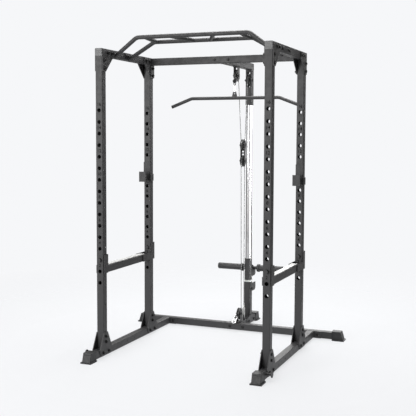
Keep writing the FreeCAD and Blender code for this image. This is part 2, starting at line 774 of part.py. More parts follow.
def lower_post():
    """The lower post, welded to two cheeks that straddle the tower's base tube."""
    height = size("lower_post_top") - base_top
    body = square_tube("lower_post_tube", "Z", height, (0, tower_y, base_top))
    drill(body, "X", [(0, size("lower_bolt") - base_top)], hole_r)
    pieces = [body]
    reach = size("saddle_half")
    low = base_foot + 4
    for hand, sign in SIDES:
        outline = [(-reach, low), (reach, low), (reach, base_top - 10), (reach - 20, base_top + 8),
                   (28, base_top + 18), (-28, base_top + 18), (-reach + 20, base_top + 8),
                   (-reach, base_top - 10)]
        holes = [(-size("saddle_bolt"), base_mid), (size("saddle_bolt"), base_mid)]
        start = half if sign > 0 else -half - plate_t
        pieces.append(plate("lower_post_cheek_" + hand, "X", outline, holes, hole_r, plate_t,
                            (start, tower_y, 0)))
    node(fuse("lower_post", pieces), "lower_post")


def tower_base_tube():
    """The base tube under the tower, with its flange and the lug that anchors the row cable."""
    start = cross_y + side
    end = front_y + size("rear_reach") - size("tube_end_gap")
    body = square_tube("tower_base_run", "Y", end - start - plate_t, (0, start + plate_t, base_mid))
    holes = [(tower_y + offset - start - plate_t, 0)
             for offset in (-size("saddle_bolt"), size("saddle_bolt"))]
    drill(body, "X", holes, hole_r)
    flange = tower_flange("tower_base_flange", start, base_mid)
    lug_y = front_y + size("block_y") + groove_r
    outline = [(-12, base_top), (12, base_top), (8, base_top + 34), (-8, base_top + 34)]
    lug = plate("row_anchor_lug", "X", outline, [(0, base_top + 24)], 4.5, 6, (-3, lug_y, 0))
    node(fuse("tower_base_tube", [body, flange, lug]), "tower_base_tube")


def guide_parts():
    """The chrome guide tube, its bumper ring and the plate on the lower post's side."""
    radius = size("guide_radius")
    foot = size("guide_foot")
    tall = top_foot - size("guide_drop") - foot
    outer = rod("guide_outer", "Z", radius, tall, (0, tower_y, foot))
    inner = rod("guide_inner", "Z", radius - 2, tall, (0, tower_y, foot))
    tube = cut("guide_pipe", outer, inner)
    cross = rod("guide_cross_hole", "X", hole_r, side * 2, (-side, tower_y, size("lower_bolt")))
    node(cut("guide_tube", tube, cross), "guide_tube")
    gap = size("fit_gap")
    ring = turned("carriage_bumper", "Z",
                  [(0, radius + gap), (size("bumper_height"), radius + gap),
                   (size("bumper_height"), radius + 4), (0, half)],
                  (0, tower_y, size("lower_post_top")))
    node(ring, "carriage_bumper")
    reach = size("lug_reach")
    low = size("lug_foot")
    high = size("lug_top")
    outline = [(-18, low), (reach - 14, low), (reach, low + 14), (reach, high), (-18, high)]
    side_plate = plate("post_side_plate", "X", outline, [(0, size("lower_bolt"))], hole_r, plate_t,
                       (half, tower_y, 0))
    node(side_plate, "post_side_plate")


# ---------------------------------------------------------------- pulleys
def pulley(name, y, z, groove):
    """A grooved pulley wheel that spins about X on a plain axle."""
    rim = groove + size("rim_height")
    floor = groove - cable_r - 0.4
    wide = size("pulley_half")
    hub = size("hub_half")
    bore = size("axle_radius") + size("axle_gap")
    profile = [(-hub, bore), (hub, bore), (hub, size("hub_radius")), (wide * 0.45, size("hub_radius") + 2),
               (wide * 0.45, floor - 6), (wide, floor - 3), (wide, rim), (7, rim), (3.2, floor),
               (-3.2, floor), (-7, rim), (-wide, rim), (-wide, floor - 3), (wide * -0.45, floor - 6),
               (wide * -0.45, size("hub_radius") + 2), (-hub, size("hub_radius"))]
    return node(turned(name, "X", profile, (0, y, z)), name)


def cheek_pair(name, outline, holes, radius):
    """Two matching cheek plates either side of a pulley, both cut from one outline."""
    pair = []
    for hand, sign in SIDES:
        start = cheek_in if sign > 0 else -cheek_out
        pair.append(plate("%s_cheek_%s" % (name, hand), "X", outline, holes, radius,
                          cheek_out - cheek_in, (start, 0, 0)))
    return pair


def pulley_brackets():
    """The two fixed U-brackets: one under the arm, one on the rear base tube."""
    bore = size("axle_radius") + size("axle_gap")
    y = front_y + size("front_pulley_y")
    z = top_foot - size("front_pulley_drop")
    roof = cross_top_foot - plate_t
    outline = [(y - 15, z - 26), (y + 15, z - 26), (y + 23, z), (y + 23, roof), (y - 23, roof), (y - 23, z)]
    pieces = cheek_pair("front_bracket", outline, [(y, z)], bore)
    pieces.append(block("front_bracket_roof", (cheek_out * 2, dim(64), plate_t),
                        (-cheek_out, y - 32, roof)))
    front = fuse("front_bracket", pieces)
    y = front_y + size("low_pulley_y")
    z = size("low_pulley_z")
    sole = base_top + 4
    outline = [(y - 30, sole), (y + 20, sole), (y + 22, z), (y + 10, z + 22), (y - 10, z + 22),
               (y - 22, z)]
    pieces = cheek_pair("low_bracket", outline, [(y, z)], bore)
    pieces.append(block("low_bracket_sole", (cheek_out * 2 + 16, dim(62), dim(4)),
                        (-cheek_out - 8, y - 42, base_top)))
    low = fuse("low_bracket", pieces)
    group("pulley_brackets", [front, low])


def axle(head_x, y, z, grip):
    """A pulley axle bolt along X, its head on the right."""
    radius = size("axle_radius").value
    start = point(head_x, y, z)
    across = size("axle_head").value
    nut_height = size("nut_height").value
    tail = 4
    shank = Part.makeCylinder(radius, grip + nut_height + tail, start, DIRECTION["X"] * -1)
    head = hexagon(across, size("axle_head_height").value, start, DIRECTION["X"])
    nut = hexagon(across, nut_height, start - DIRECTION["X"] * (grip + nut_height), DIRECTION["X"])
    return shank.fuse([head, nut])


def floating_block():
    """The hanging block: two cheeks, a spacer between its pulleys and both axle bolts."""
    y = front_y + size("block_y")
    high = size("block_upper_z")
    low = size("block_lower_z")
    bore = size("axle_radius")
    outline = [(y - 11, low - 24), (y + 11, low - 24), (y + 20, low - 8), (y + 17, (low + high) / 2),
               (y + 20, high + 8), (y + 11, high + 24), (y - 11, high + 24), (y - 20, high + 8),
               (y - 17, (low + high) / 2), (y - 20, low - 8)]
    cheeks = cheek_pair("block", outline, [(y, high), (y, low)], bore)
    spacer = rod("block_spacer", "X", dim(5), cheek_in * 2, (-cheek_in, y, (low + high) / 2))
    bolts = [feature("block_axle_%d" % i, axle(cheek_out, y, z, cheek_out.value * 2))
             for i, z in enumerate((high, low))]
    node(fuse("floating_block_frame", cheeks + [spacer] + bolts), "floating_block_frame")


# ---------------------------------------------------------------- cable routes
front_wheel = point(0, front_y + size("front_pulley_y"), top_foot - size("front_pulley_drop"))
post_wheel = point(0, tower_y - size("post_axle_ahead"), top_foot - size("post_pulley_drop"))
upper_wheel = point(0, front_y + size("block_y"), size("block_upper_z"))
lower_wheel = point(0, front_y + size("block_y"), size("block_lower_z"))
low_wheel = point(0, front_y + size("low_pulley_y"), size("low_pulley_z"))
groove = groove_r.value
post_groove = post_groove_r.value
stud_top = point(0, tower_y + size("stud_back"), size("stud_z") + 22)
row_anchor = point(0, front_y + size("block_y") + groove_r, 186)
ball_centre = front_wheel - Vec(0, groove, groove + size("ball_clear").value)
row_angle = math.radians(size("row_lift_angle").value)
row_heading = Vec(0, -math.cos(row_angle), math.sin(row_angle))
row_exit = low_wheel + Vec(0, -math.sin(row_angle), -math.cos(row_angle)) * groove
row_ball = row_exit + row_heading * size("row_free").value


def cables():
    """Both cables along their real routes, split where they leave or meet a wheel."""
    radius = cable_r.value
    ball_top = ball_centre + Vec(0, 0, size("ball_radius").value)
    drop_top, drop_end = tangent(front_wheel, groove, -1, ball_top, 0, 1)
    node(feature("lat_cable_drop", straight(drop_end, drop_top, radius)), "lat_cable_drop")
    span_a, span_b = tangent(front_wheel, groove, 1, upper_wheel, groove, -1)
    span_c, span_d = tangent(upper_wheel, groove, 1, post_wheel, post_groove, -1)
    span_e, span_f = tangent(post_wheel, post_groove, 1, stud_top + DIRECTION["Z"], 0, 1)
    low_a, low_b = tangent(low_wheel, groove, 1, lower_wheel, groove, -1)
    low_c, low_d = tangent(lower_wheel, groove, 1, row_anchor, 0, 1)
    runs = [feature("lat_run_down", straight(span_a, span_b, radius)),
            feature("lat_run_up", straight(span_c, span_d, radius)),
            feature("row_run_up", straight(low_a, low_b, radius)),
            feature("row_run_down", straight(low_c, low_d, radius))]
    group("block_cable_runs", runs)
    node(feature("carriage_cable_drop", straight(span_f, span_e, radius)), "carriage_cable_drop")
    turns = {"fixed_cable_wraps": [arc_about(front_wheel, drop_top, span_a, 90),
                                   arc_about(post_wheel, span_d, span_e, 90),
                                   arc_about(low_wheel, row_exit, low_a, -45)],
             "block_cable_wraps": [arc_about(upper_wheel, span_b, span_c, -90),
                                   arc_about(lower_wheel, low_b, low_c, 90)]}
    for name, arcs in turns.items():
        group(name, [feature("%s_%d" % (name, i), sweep(Part.Wire([arc]), radius))
                     for i, arc in enumerate(arcs)])
    free = row_ball - row_heading * size("ball_radius").value
    node(feature("row_cable_end", straight(row_exit, free, radius)), "row_cable_end")
    fitting = straight(low_d, low_d - Vec(0, 0, 40), 5)
    lug_y = row_anchor.y
    eye_z = base_top.value + 24
    fork = Part.makeBox(16, 16, row_anchor.z - 40 - eye_z - 12, Vec(-8, lug_y - 8, eye_z + 12))
    prongs = [Part.makeBox(4, 16, 28, Vec(x, lug_y - 8, eye_z - 12)) for x in (-8, 4)]
    pin = Part.makeCylinder(4, 20, Vec(-10, lug_y, eye_z), DIRECTION["X"])
    anchor = fitting.fuse([fork, pin] + prongs)
    node(feature("row_cable_anchor", anchor), "row_cable_anchor")


# ---------------------------------------------------------------- carriage
def carriage():
    """The plate carriage: sleeve, rear cheeks, plastic bushes, loading horns and cable stud."""
    foot = size("carriage_foot")
    tall = size("carriage_tall")
    y = tower_y
    back = y + size("horn_back")
    horn_z = size("horn_z")
    outer = rod("sleeve_outer", "Z", size("sleeve_radius"), tall, (0, y, foot))
    cheeks = []
    cheek_at = dim(20)
    reach = y + size("carriage_cheek_reach")
    for hand, sign in SIDES:
        outline = [(y + 8, foot + 26), (reach - 22, foot + 26), (reach, foot + 40), (reach, foot + 74),
                   (y + 44, foot + 112), (y + 8, foot + 122)]
        start = cheek_at if sign > 0 else -cheek_at - plate_t
        cheeks.append(plate("carriage_cheek_" + hand, "X", outline, [(back, horn_z)],
                            size("horn_bar"), plate_t, (start, 0, 0)))
    shelf = block("carriage_shelf", (cheek_at * 2, dim(26), dim(6)),
                  (-cheek_at, y + size("stud_back") - 13, size("stud_z")))
    shelf_hole = rod("shelf_hole", "Z", dim(5.2), dim(20), (0, y + size("stud_back"), size("stud_z") - 5))
    bar = rod("horn_cross_bar", "X", size("horn_bar"), size("collar_inner") * 2,
              (-size("collar_inner"), back, horn_z))
    drilled_shelf = cut("carriage_shelf_drilled", shelf, shelf_hole)
    welded = fuse("carriage_weldment", [outer, bar, drilled_shelf] + cheeks)
    sleeve_hollow = rod("sleeve_hollow", "Z", size("sleeve_bore"), tall, (0, y, foot))
    node(cut("carriage_sleeve", welded, sleeve_hollow), "carriage_sleeve")
    inner_r = size("guide_radius") + size("bush_gap")
    height = size("bush_height")
    bushes = []
    for tag, low in (("lower", foot), ("upper", foot + tall - height)):
        bushes.append(turned("bush_" + tag, "Z",
                             [(0, inner_r), (height, inner_r), (height, size("sleeve_bore")),
                              (0, size("sleeve_bore"))], (0, y, low)))
    group("carriage_bushes", bushes)
    horns = []
    length = size("horn_end") - size("collar_inner")
    thick = size("collar_outer") - size("collar_inner")
    bore = size("horn_radius") - size("horn_wall")
    lid = length - size("horn_lid")
    for hand, sign in SIDES:
        profile = [(0, size("horn_vent")), (0, size("collar_radius") - 3),
                   (3 * sign, size("collar_radius")),
                   (thick * sign, size("collar_radius")), (thick * sign, size("horn_radius")),
                   ((length - 4) * sign, size("horn_radius")), (length * sign, size("horn_radius") - 4),
                   (length * sign, 0), (lid * sign, 0), (lid * sign, bore), (thick * sign, bore),
                   (thick * sign, size("horn_vent"))]
        horns.append(turned("weight_horn_" + hand, "X", profile,
                            (size("collar_inner") * sign, back, horn_z)))
    group("weight_horns", horns)
    stud_y = y + size("stud_back")
    stud_z = size("stud_z")
    stud_foot = point(0, stud_y, stud_z - 56)
    stud = straight(stud_foot, stud_top, 5)
    across = size("axle_head").value
    nut_height = size("nut_height").value
    nuts = [hexagon(across, nut_height, point(0, stud_y, stud_z - nut_height), DIRECTION["Z"]),
            hexagon(across, nut_height, point(0, stud_y, stud_z + 6), DIRECTION["Z"])]
    node(feature("carriage_cable_stud", stud.fuse(nuts)), "carriage_cable_stud")


# ---------------------------------------------------------------- lat bar and hooks
def ball_stop(name, centre, heading, eye_axis):
    """A rubber ball stop with the steel eye that the hook passes through; gives the eye's centre."""
    radius = size("ball_radius").value
    eye_at = centre + heading * (radius + 4)
    eye = Part.makeTorus(size("eye_ring").value, size("eye_rod").value, eye_at, eye_axis)
    cup = Part.makeCylinder(6, 8, centre - heading * radius, heading)
    node(feature(name, Part.makeSphere(radius, centre).fuse([cup, eye])), name)
    return eye_at


def spring_hook(name, eye_at, heading, across):
    """An oval snap hook and its gate, hanging from an eye; gives the middle of its lower end."""
    rod_r = size("hook_rod").value
    bend = size("hook_bend").value
    run = size("hook_straight").value
    slack = size("eye_ring").value - size("eye_rod").value - rod_r - 0.5
    top = eye_at + heading * slack
    start = top + heading * bend
    far = start + heading * run
    left = across * bend
    pivot = far + left - heading * (rod_r + 3.6)
    gate_end = start + left + heading * 3
    edges = [Part.LineSegment(far + left - heading * 2.6, far + left).toShape(),
             Part.Arc(far + left, far + heading * bend, far - left).toShape(),
             Part.LineSegment(far - left, start - left).toShape(),
             Part.Arc(start - left, top, start + left).toShape(),
             Part.LineSegment(start + left, start + left + heading * 2.6).toShape()]
    body = sweep(Part.Wire(edges), rod_r)
    gate_r = rod_r - 0.5
    hinge = heading.cross(across).normalize()
    pin = Part.makeCylinder(1.2, 8, pivot - hinge * 4, hinge)
    gate = straight(pivot, gate_end, gate_r).fuse([Part.makeSphere(gate_r, pivot), pin])
    node(feature(name, body), name)
    node(feature(name + "_gate", gate), name + "_gate")
    return far + heading * bend


def lat_bar(low_rod):
    """The wide pulldown bar with its welded hanging lug."""
    y = ball_centre.y
    z = (top_foot - size("lat_bar_below")).value
    end = size("lat_bar_end").value
    bend = size("lat_bar_bend").value
    fall = z - size("lat_bar_drop").value
    radius = size("lat_bar_radius").value
    corners = [Vec(-end, y, fall), Vec(-bend, y, z), Vec(bend, y, z), Vec(end, y, fall)]
    bar = sweep(round_path(corners, [60, 60]), radius)
    hole_z = low_rod.z - 1.6
    outline = [(-22, z + 3), (22, z + 3), (11, hole_z + 14), (-11, hole_z + 14)]
    lug = plate("lat_bar_lug", "Y", outline, [(0, hole_z)], 6, 6, (0, y - 3, 0))
    node(fuse("lat_bar", [feature("lat_bar_tube", bar), lug]), "lat_bar")


def hooks_and_bar():
    """Both ball stops with their hooks, and the bar on the upper one."""
    down = Vec(0, 0, -1)
    eye_at = ball_stop("lat_ball_stop", ball_centre, down, DIRECTION["Y"])
    lat_bar(spring_hook("lat_hook", eye_at, down, DIRECTION["Y"]))
    eye_at = ball_stop("row_ball_stop", row_ball, row_heading, DIRECTION["X"])
    droop = math.radians(size("row_droop").value)
    spring_hook("row_hook", eye_at, Vec(0, -math.cos(droop), -math.sin(droop)), DIRECTION["X"])


# ---------------------------------------------------------------- safety bars and J-hooks
def safety_bar(hand, sign):
    """A safety bar: tube, two saddles around the uprights, and the pegs that lock it in a hole."""
    name = "safety_bar_" + hand
    x = upright_x * sign
    foot = size("safety_foot")
    clear = size("saddle_clear")
    skin = dim(0.5)
    tube_start = front_y + side + skin + plate_t
    tube_end = rear_y - size("safety_gap")
    body = square_tube(name + "_tube", "Y", tube_end - tube_start, (x, tube_start, foot + half))
    pieces = [body]
    reach = half + clear
    peg_z = size("hole_first") + size("hole_pitch") * 2
    for end, face_y in ENDS:
        back = face_y + side + skin
        pieces.append(block("%s_%s_back" % (name, end),
                            (reach * 2 + plate_t * 2, plate_t, size("safety_tall") - foot),
                            (x - reach - plate_t, back, foot)))
        low = front_y + 8 if end == "front" else tube_end - 46
        high = back + plate_t
        rise = face_y + 8
        tall_outline = [(low, foot), (high, foot), (high, size("safety_tall")),
                        (rise, size("safety_tall")), (rise, foot + side), (low, foot + side)]
        if end == "front":
            tall_outline = [(low, foot), (high, foot), (high, size("safety_tall")),
                            (low, size("safety_tall"))]
        pieces.append(plate("%s_%s_tall" % (name, end), "X", tall_outline, [], 1, plate_t,
                            (x + reach, 0, 0)))
        short_outline = [(low, foot), (high, foot), (high, foot + side + 4), (low, foot + side + 4)]
        pieces.append(plate("%s_%s_short" % (name, end), "X", short_outline, [], 1, plate_t,
                            (x - reach - plate_t, 0, 0)))
        pieces.append(rod("%s_%s_peg" % (name, end), "Y", size("safety_peg"),
                          size("safety_tip") + side + skin + 1,
                          (x, face_y - size("safety_tip"), peg_z)))
    for part_sign in (-1, 1):
        start = x + half if part_sign > 0 else x - reach
        pieces.append(block("%s_packer_%d" % (name, part_sign + 1), (clear, dim(46), side - 10),
                            (start, tube_end - 46, foot + 5)))
    node(fuse(name, pieces), name)
    liner = block("safety_liner_" + hand, (side - 10, tube_end - tube_start - 12, size("liner_thick") / 2),
                  (x - half + 5, tube_start + 6, foot + side))
    node(liner, "safety_liner_" + hand)


def jhook(hand, sign):
    """A J-hook on a rear upright: saddle, arm, lip and the peg that sits in a hole."""
    name = "jhook_" + hand
    x = upright_x * sign
    skin = dim(0.4)
    foot = size("jhook_foot")
    front = rear_y - size("jhook_reach")
    back_y = rear_y - skin - plate_t
    clear = size("saddle_clear")
    reach = half + clear
    wide = (half + 1) * 2
    pieces = [
        block(name + "_back", (wide, plate_t, size("jhook_top") - foot), (x - wide / 2, back_y, foot)),
        block(name + "_arm", (wide, back_y - front, plate_t), (x - wide / 2, front, foot)),
        block(name + "_lip", (wide, plate_t, size("jhook_lip")), (x - wide / 2, front, foot)),
        rod(name + "_peg", "Y", size("safety_peg"), size("jhook_peg") + 1,
            (x, back_y + plate_t - 1, size("hole_first") + size("hole_pitch") * 10)),
        block(name + "_wrap", (reach * 2 + plate_t * 2, plate_t, dim(50)),
              (x - reach - plate_t, back_y, foot + 4)),
    ]
    for part_sign in (-1, 1):
        start = x + reach if part_sign > 0 else x - reach - plate_t
        pieces.append(block("%s_side_%d" % (name, part_sign + 1), (plate_t, dim(48), dim(50)),
                            (start, back_y, foot + 4)))
    node(fuse(name, pieces), name)
    thick = size("liner_thick")
    pad_floor = block(name + "_pad_floor", (wide - 4, back_y - front - plate_t - thick, thick),
                      (x - wide / 2 + 2, front + plate_t, foot + plate_t))
    pad_back = block(name + "_pad_back", (wide - 4, thick, dim(70)),
                     (x - wide / 2 + 2, back_y - thick, foot + plate_t))
    node(fuse("jhook_liner_" + hand, [pad_floor, pad_back]), "jhook_liner_" + hand)


# ---------------------------------------------------------------- fasteners
def frame_bolts():
    """Every bolt of the frame, each with its nut."""
    corner = []
    joints = []
    grip = side.value + plate_t.value * 2
    for end, face_y in ENDS:
        extra = plate_t.value if end == "rear" else 0
        for hand, sign in SIDES:
            start_x = (upright_x + half + plate_t).value * sign
            inward = DIRECTION["X"] * -sign
            for z in top_upright_bolts:
                corner.append(bolt(point(start_x, face_y + half, z), inward, grip + extra))
            for distance in top_tube_bolts:
                corner.append(bolt(point(start_x, corner_y(end, distance), top_mid), inward, grip))
            for z in foot_upright_bolts:
                corner.append(bolt(point(start_x, face_y + half, z), inward, grip))
            for distance in foot_tube_bolts:
                corner.append(bolt(point(start_x, face_y + distance, base_mid), inward, grip))
    node(feature("corner_bolts", Part.makeCompound(corner)), "corner_bolts")
    flange_grip = side.value + plate_t.value
    for hand, sign in SIDES:
        start_x = (upright_x + half).value * sign
        for distance in (size("bar_front") + size("bar_bolt"), size("bar_rear") - size("bar_bolt")):
            joints.append(bolt(point(start_x, front_y + distance, top_mid), DIRECTION["X"] * -sign,
                               flange_grip))
        for offset in (-size("flange_bolt"), size("flange_bolt")):
            joints.append(bolt(point(upright_x * sign + offset, cross_y - plate_t, base_mid),
                               DIRECTION["Y"], flange_grip))
        joints.append(bolt(point(size("tower_flange_bolt") * sign, cross_y, base_mid),
                           DIRECTION["Y"], flange_grip))
        joints.append(bolt(point(size("tower_flange_bolt") * sign, rear_y, cross_top_foot + half),
                           DIRECTION["Y"], flange_grip))
    node(feature("joint_bolts", Part.makeCompound(joints)), "joint_bolts")
    tower = []
    for offset in (-size("saddle_bolt"), size("saddle_bolt")):
        tower.append(bolt(point(half + plate_t, tower_y + offset, base_mid), DIRECTION["X"] * -1, grip))
    tower.append(bolt(point(half + plate_t, tower_y, size("lower_bolt")), DIRECTION["X"] * -1, flange_grip))
    tower.append(axle(cheek_out, front_wheel.y, front_wheel.z, cheek_out.value * 2))
    tower.append(axle(cheek_out, low_wheel.y, low_wheel.z, cheek_out.value * 2))
    tower.append(axle(half, post_wheel.y, post_wheel.z, side.value))
    node(feature("tower_bolts", Part.makeCompound(tower)), "tower_bolts")


# ---------------------------------------------------------------- assembly
for end, face_y in ENDS:
    for hand, sign in SIDES:
        upright(end, hand, sign, face_y)
for hand, sign in SIDES:
    top_side_tube(hand, sign)
    base_side_tube(hand, sign)
rear_base_crossmember()
rear_top_crossmember()
gussets()
foot_caps()
tube_end_caps()
pull_up_bar()
tower_arm()
upper_post()
lower_post()
tower_base_tube()
guide_parts()
pulley("front_pulley", front_wheel.y, front_wheel.z, groove_r)
pulley("post_pulley", post_wheel.y, post_wheel.z, post_groove_r)
pulley("block_upper_pulley", upper_wheel.y, upper_wheel.z, groove_r)
pulley("block_lower_pulley", lower_wheel.y, lower_wheel.z, groove_r)
pulley("low_pulley", low_wheel.y, low_wheel.z, groove_r)
pulley_brackets()
floating_block()
cables()
carriage()
hooks_and_bar()
for hand, sign in SIDES:
    safety_bar(hand, sign)
    jhook(hand, sign)
frame_bolts()

doc.recompute()
for thing in doc.Objects:
    if "Invalid" in thing.State or "Error" in thing.State:
        raise ValueError("failed object: %s %s" % (thing.Name, thing.State))
for thing in NODES:
    if thing.Shape.isNull() or not thing.Shape.isValid() or not thing.Shape.Solids:
        raise ValueError("bad shape: " + thing.Label)
os.makedirs("parts", exist_ok=True)
for thing in NODES:
    thing.Shape.exportStep("parts/%s.step" % thing.Label)
print(len(NODES), "nodes written")
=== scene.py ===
"""Looks of the power cage: materials, cables, numbers, welds, floor, light and camera.

Everything is in metres in the CAD's frame: +X right, +Y rear, +Z up, floor at z = 0.
"""
import math

import bmesh
import bpy
from mathutils import Matrix, Vector


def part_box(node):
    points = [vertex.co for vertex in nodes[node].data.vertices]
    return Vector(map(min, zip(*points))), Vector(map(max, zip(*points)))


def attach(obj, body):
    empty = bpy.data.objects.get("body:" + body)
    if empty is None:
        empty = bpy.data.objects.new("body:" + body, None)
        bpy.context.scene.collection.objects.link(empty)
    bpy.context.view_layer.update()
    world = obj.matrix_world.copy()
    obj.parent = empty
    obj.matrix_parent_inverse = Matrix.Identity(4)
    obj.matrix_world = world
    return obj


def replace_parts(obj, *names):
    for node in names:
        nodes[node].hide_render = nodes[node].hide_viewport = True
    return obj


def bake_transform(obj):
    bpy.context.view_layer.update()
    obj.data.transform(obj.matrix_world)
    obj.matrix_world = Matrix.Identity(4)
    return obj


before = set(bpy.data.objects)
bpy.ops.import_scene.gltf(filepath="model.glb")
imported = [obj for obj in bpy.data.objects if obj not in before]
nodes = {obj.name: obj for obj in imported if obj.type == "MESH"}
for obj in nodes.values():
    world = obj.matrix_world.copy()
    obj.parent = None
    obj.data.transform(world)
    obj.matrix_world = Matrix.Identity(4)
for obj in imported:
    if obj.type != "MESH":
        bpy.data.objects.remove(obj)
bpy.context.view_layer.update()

scene = bpy.context.scene
MM = 0.001

# ---------------------------------------------------------------- sizes that follow the CAD
TUBE = 0.050
PLATE = 0.005
PULLUP_TUBE_R = 0.014
# how far behind the uprights' front face each pull-up tube lies, its foot's height and its slope
PULLUP_ENDS = {"pullup_front_tube": (0.176, 2.013, 0.60), "pullup_rear_tube": (0.364, 2.007, 0.52)}
HOLE_FIRST = 0.503
HOLE_PITCH = 0.0762
CABLE_R = 2.75 * MM
ROW_TAIL = 31 * MM
ROW_LIFT = 25.0
GROOVE_R = 40 * MM
POST_GROOVE_R = 44 * MM


def middle(node):
    """The centre of a CAD node's box."""
    low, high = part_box(node)
    return (Vector(low) + Vector(high)) / 2


# ---------------------------------------------------------------- shader helpers
class Shader:
    """A material under construction, with short calls for the nodes it needs."""

    def __init__(self, name):
        self.material = bpy.data.materials.new(name)
        self.material.use_nodes = True
        self.tree = self.material.node_tree
        self.surface = self.tree.nodes["Principled BSDF"]
        self.place = self.tree.nodes.new("ShaderNodeTexCoord").outputs["Object"]

    def set(self, **values):
        """Give plain values to the surface's inputs, with _ for a space."""
        for key, value in values.items():
            self.surface.inputs[key.replace("_", " ")].default_value = value
        return self

    def link(self, output, socket):
        self.tree.links.new(output, socket)
        return self

    def scaled(self, scale):
        """The object's own coordinates, stretched by three factors."""
        mapping = self.tree.nodes.new("ShaderNodeMapping")
        mapping.inputs["Scale"].default_value = scale
        self.link(self.place, mapping.inputs["Vector"])
        return mapping.outputs["Vector"]

    def noise(self, scale, detail=3.0, rough=0.5, vector=None):
        """A noise texture's value."""
        texture = self.tree.nodes.new("ShaderNodeTexNoise")
        texture.inputs["Scale"].default_value = scale
        texture.inputs["Detail"].default_value = detail
        texture.inputs["Roughness"].default_value = rough
        self.link(vector or self.place, texture.inputs["Vector"])
        return texture.outputs["Fac"]

    def ramp(self, factor, stops):
        """A colour ramp over a factor; each stop is a place and a grey or a colour."""
        node = self.tree.nodes.new("ShaderNodeValToRGB")
        elements = node.color_ramp.elements
        while len(elements) < len(stops):
            elements.new(0.5)
        for element, (where, colour) in zip(elements, stops):
            element.position = where
            if not hasattr(colour, "__len__"):
                colour = (colour, colour, colour)
            element.color = (*colour, 1.0)
        self.link(factor, node.inputs["Fac"])
        return node.outputs["Color"]

    def mix(self, factor, first, second):
        """Two colours mixed by a factor."""
        node = self.tree.nodes.new("ShaderNodeMix")
        node.data_type = "RGBA"
        self.link(factor, node.inputs["Factor"])
        self.link(first, node.inputs["A"])
        self.link(second, node.inputs["B"])
        return node.outputs["Result"]

    def math(self, operation, first, second):
        """Arithmetic on an output and a number or another output."""
        node = self.tree.nodes.new("ShaderNodeMath")
        node.operation = operation
        self.link(first, node.inputs[0])
        if isinstance(second, (int, float)):
            node.inputs[1].default_value = second
        else:
            self.link(second, node.inputs[1])
        return node.outputs["Value"]

    def colour(self, output):
        return self.link(output, self.surface.inputs["Base Color"])

    def roughness(self, output):
        return self.link(output, self.surface.inputs["Roughness"])

    def bump(self, height, distance, strength=1.0):
        """Relief from a height value, in metres."""
        node = self.tree.nodes.new("ShaderNodeBump")
        node.inputs["Strength"].default_value = strength
        node.inputs["Distance"].default_value = distance
        self.link(height, node.inputs["Height"])
        return self.link(node.outputs["Normal"], self.surface.inputs["Normal"])


def powder_coat():
    """Charcoal powder coat: fine orange-peel grain, faint clouding and fine speckle all over."""
    s = Shader("charcoal_powder_coat").set(Specular_IOR_Level=0.45)
    cloud = s.ramp(s.noise(4.0, 4.0), [(0.3, (0.030, 0.030, 0.032)), (0.7, (0.040, 0.039, 0.041))])
    speckle = s.ramp(s.noise(1400.0, 1.0), [(0.45, (0.022, 0.022, 0.023)), (0.62, (0.056, 0.055, 0.056))])
    blend = s.ramp(s.noise(60.0, 2.0), [(0.0, 0.35), (1.0, 0.55)])
    s.colour(s.mix(blend, cloud, speckle))
    s.roughness(s.ramp(s.noise(35.0, 4.0), [(0.3, 0.44), (0.7, 0.56)]))
    return s.bump(s.noise(900.0, 2.0), 0.00025, 0.6).material


def moulded_plastic():
    """Black moulded plastic with a fine spark-eroded grain."""
    s = Shader("black_moulded_plastic").set(Specular_IOR_Level=0.4)
    s.colour(s.ramp(s.noise(18.0, 4.0), [(0.3, (0.016, 0.016, 0.017)), (0.7, (0.026, 0.026, 0.027))]))
    s.roughness(s.ramp(s.noise(90.0, 3.0), [(0.35, 0.42), (0.7, 0.58)]))
    return s.bump(s.noise(1600.0, 2.0), 0.0002, 0.5).material


def cap_plastic():
    """Smooth grey-black plastic of the tube ends, shinier than the paint around it."""
    s = Shader("tube_cap_plastic").set(Specular_IOR_Level=0.55)
    s.colour(s.ramp(s.noise(25.0, 4.0), [(0.3, (0.034, 0.035, 0.037)), (0.7, (0.050, 0.051, 0.053))]))
    s.roughness(s.ramp(s.noise(110.0, 3.0), [(0.35, 0.26), (0.7, 0.40)]))
    return s.bump(s.noise(1200.0, 2.0), 0.0001, 0.4).material


def pulley_plastic():
    """Glass-filled nylon of the pulleys, glossier in random patches."""
    s = Shader("pulley_nylon").set(Specular_IOR_Level=0.5)
    s.colour(s.ramp(s.noise(300.0, 3.0), [(0.35, (0.012, 0.012, 0.013)), (0.75, (0.028, 0.028, 0.029))]))
    s.roughness(s.ramp(s.noise(40.0, 3.0), [(0.3, 0.28), (0.7, 0.45)]))
    return s.bump(s.noise(700.0, 2.0), 0.0001, 0.4).material


def polished_steel():
    """Chrome plate with faint upright rub marks and cloudy patches."""
    s = Shader("chrome_plate").set(Metallic=1.0)
    streaks = s.noise(60.0, 4.0, 0.6, s.scaled((30.0, 30.0, 0.6)))
    s.colour(s.ramp(s.noise(12.0, 3.0), [(0.3, (0.62, 0.62, 0.64)), (0.7, (0.74, 0.74, 0.75))]))
    s.roughness(s.ramp(streaks, [(0.35, 0.10), (0.75, 0.24)]))
    return s.bump(streaks, 0.00003, 0.3).material


def machined_steel():
    """Zinc-plated turned steel with lathe rings."""
    s = Shader("zinc_plated_steel").set(Metallic=1.0)
    rings = s.noise(90.0, 2.0, 0.5, s.scaled((1.0, 1.0, 25.0)))
    s.colour(s.ramp(s.noise(50.0, 3.0), [(0.3, (0.42, 0.42, 0.41)), (0.7, (0.58, 0.58, 0.57))]))
    s.roughness(s.ramp(rings, [(0.3, 0.28), (0.7, 0.48)]))
    return s.bump(rings, 0.00008, 0.4).material


